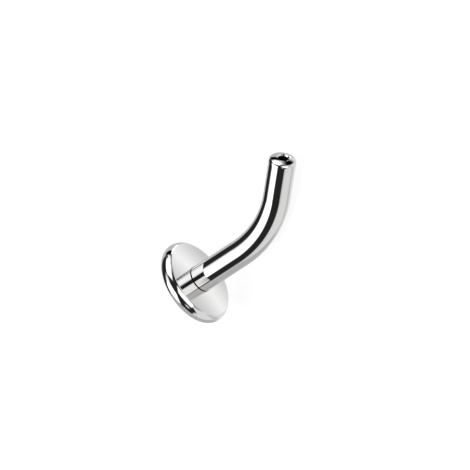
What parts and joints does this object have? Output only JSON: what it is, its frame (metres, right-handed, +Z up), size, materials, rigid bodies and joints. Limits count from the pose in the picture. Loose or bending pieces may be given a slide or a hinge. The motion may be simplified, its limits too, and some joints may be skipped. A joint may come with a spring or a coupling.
{
  "type": "belly button ring",
  "caption": "Curved navel stud: a bent round steel post with a push-fit socket in its gently domed end, on a disc base with a domed underside.",
  "frame": {"origin": "bottom centre of the resting stud's bounding box, on the surface it lies on", "axes": "+Z up from the surface, +X along the stud from the disc base to the open end, +Y to the left of that"},
  "size_m": [0.012, 0.005, 0.0049],
  "materials": {
    "post_steel": "mirror-polished surgical steel",
    "base_steel": "mirror-polished surgical steel"
  },
  "bodies": {
    "root": {"curved_post": "post_steel", "disc_base": "base_steel"}
  },
  "joints": []
}
